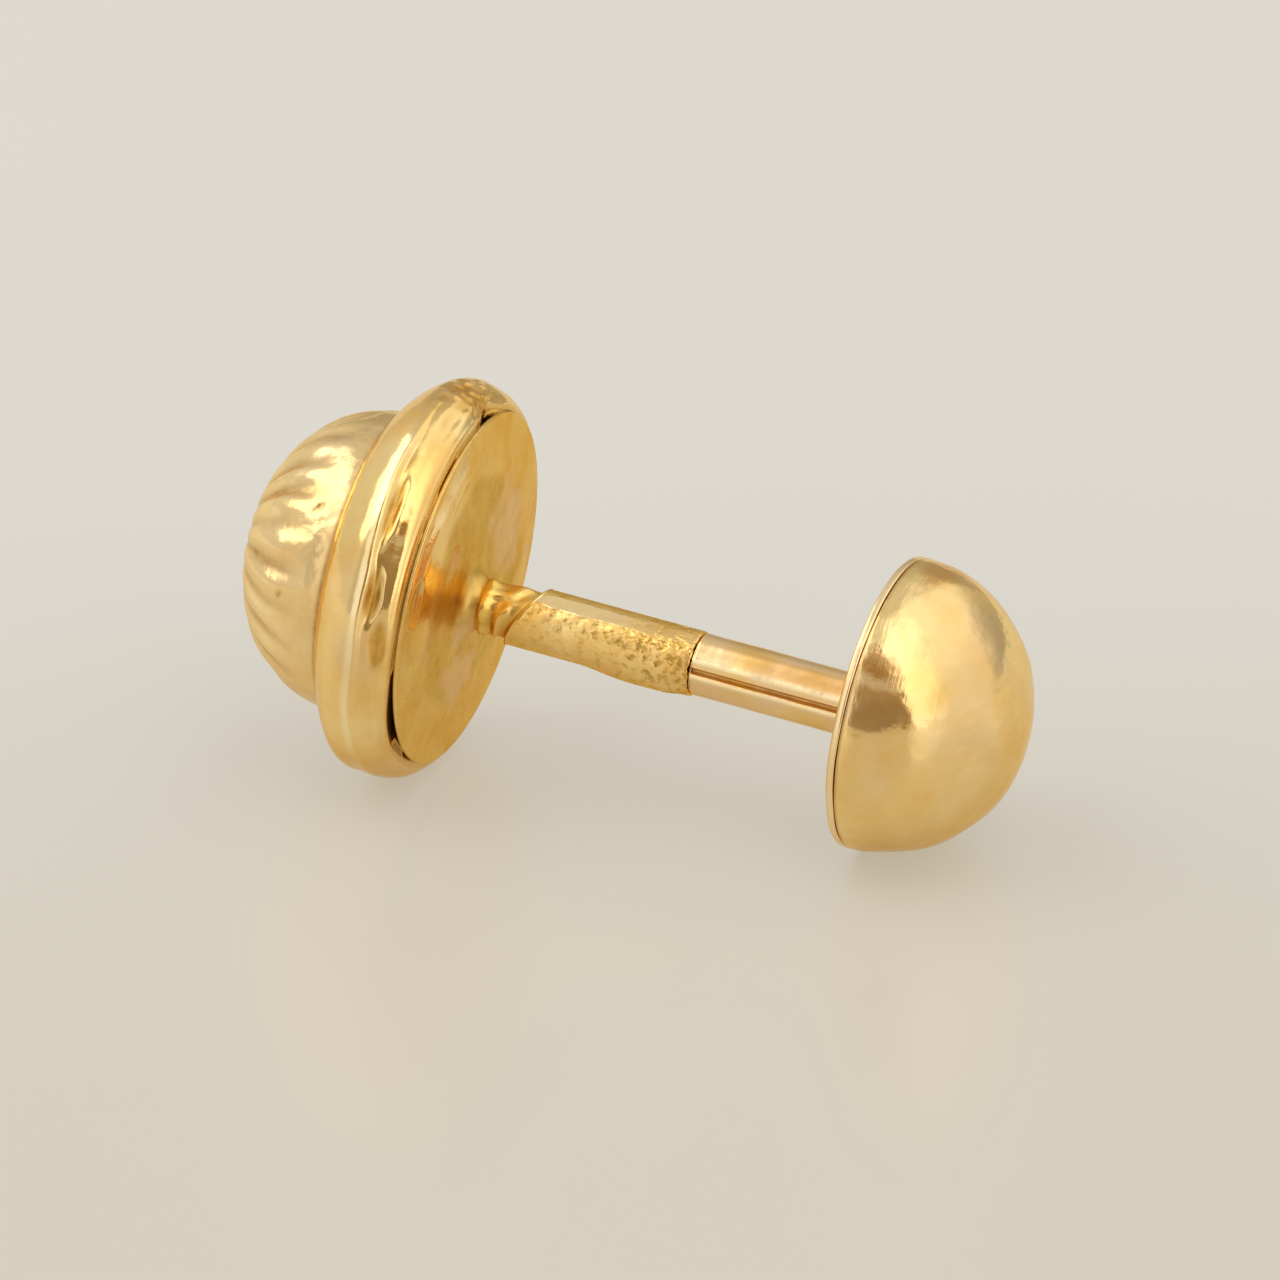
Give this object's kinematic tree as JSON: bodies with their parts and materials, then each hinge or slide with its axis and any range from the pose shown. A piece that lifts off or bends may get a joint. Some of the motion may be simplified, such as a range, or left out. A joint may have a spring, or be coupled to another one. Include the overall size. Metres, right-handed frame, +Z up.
{
  "type": "ball stud earring",
  "caption": "Gold stud earring lying on its side: a fluted dome in a hollow collar, a back plate with a slim post, and a half-ball nut on a rolled tube that comes off the post.",
  "frame": {"origin": "middle of the bounding box, on the surface that the earring lies on", "axes": "+X along the post towards the nut, seen from above; +Z up"},
  "size_m": [0.0142, 0.007, 0.007],
  "materials": {
    "polished_gold": "polished gold with fine wear",
    "collar_gold": "hammered and polished gold",
    "worn_gold": "worn gold with copper-coloured solder"
  },
  "bodies": {
    "stud": {"fluted_dome": "polished_gold", "rim_collar": "collar_gold", "post_plate": "worn_gold"},
    "nut": {"nut_plate_tube": "polished_gold", "nut_half_ball": "polished_gold"}
  },
  "joints": [
    {"name": "nut_travel", "type": "slide", "parent": "stud", "child": "nut", "axis": [0.9939, 0, -0.1098], "range_m": [0, 0.0027]}
  ]
}
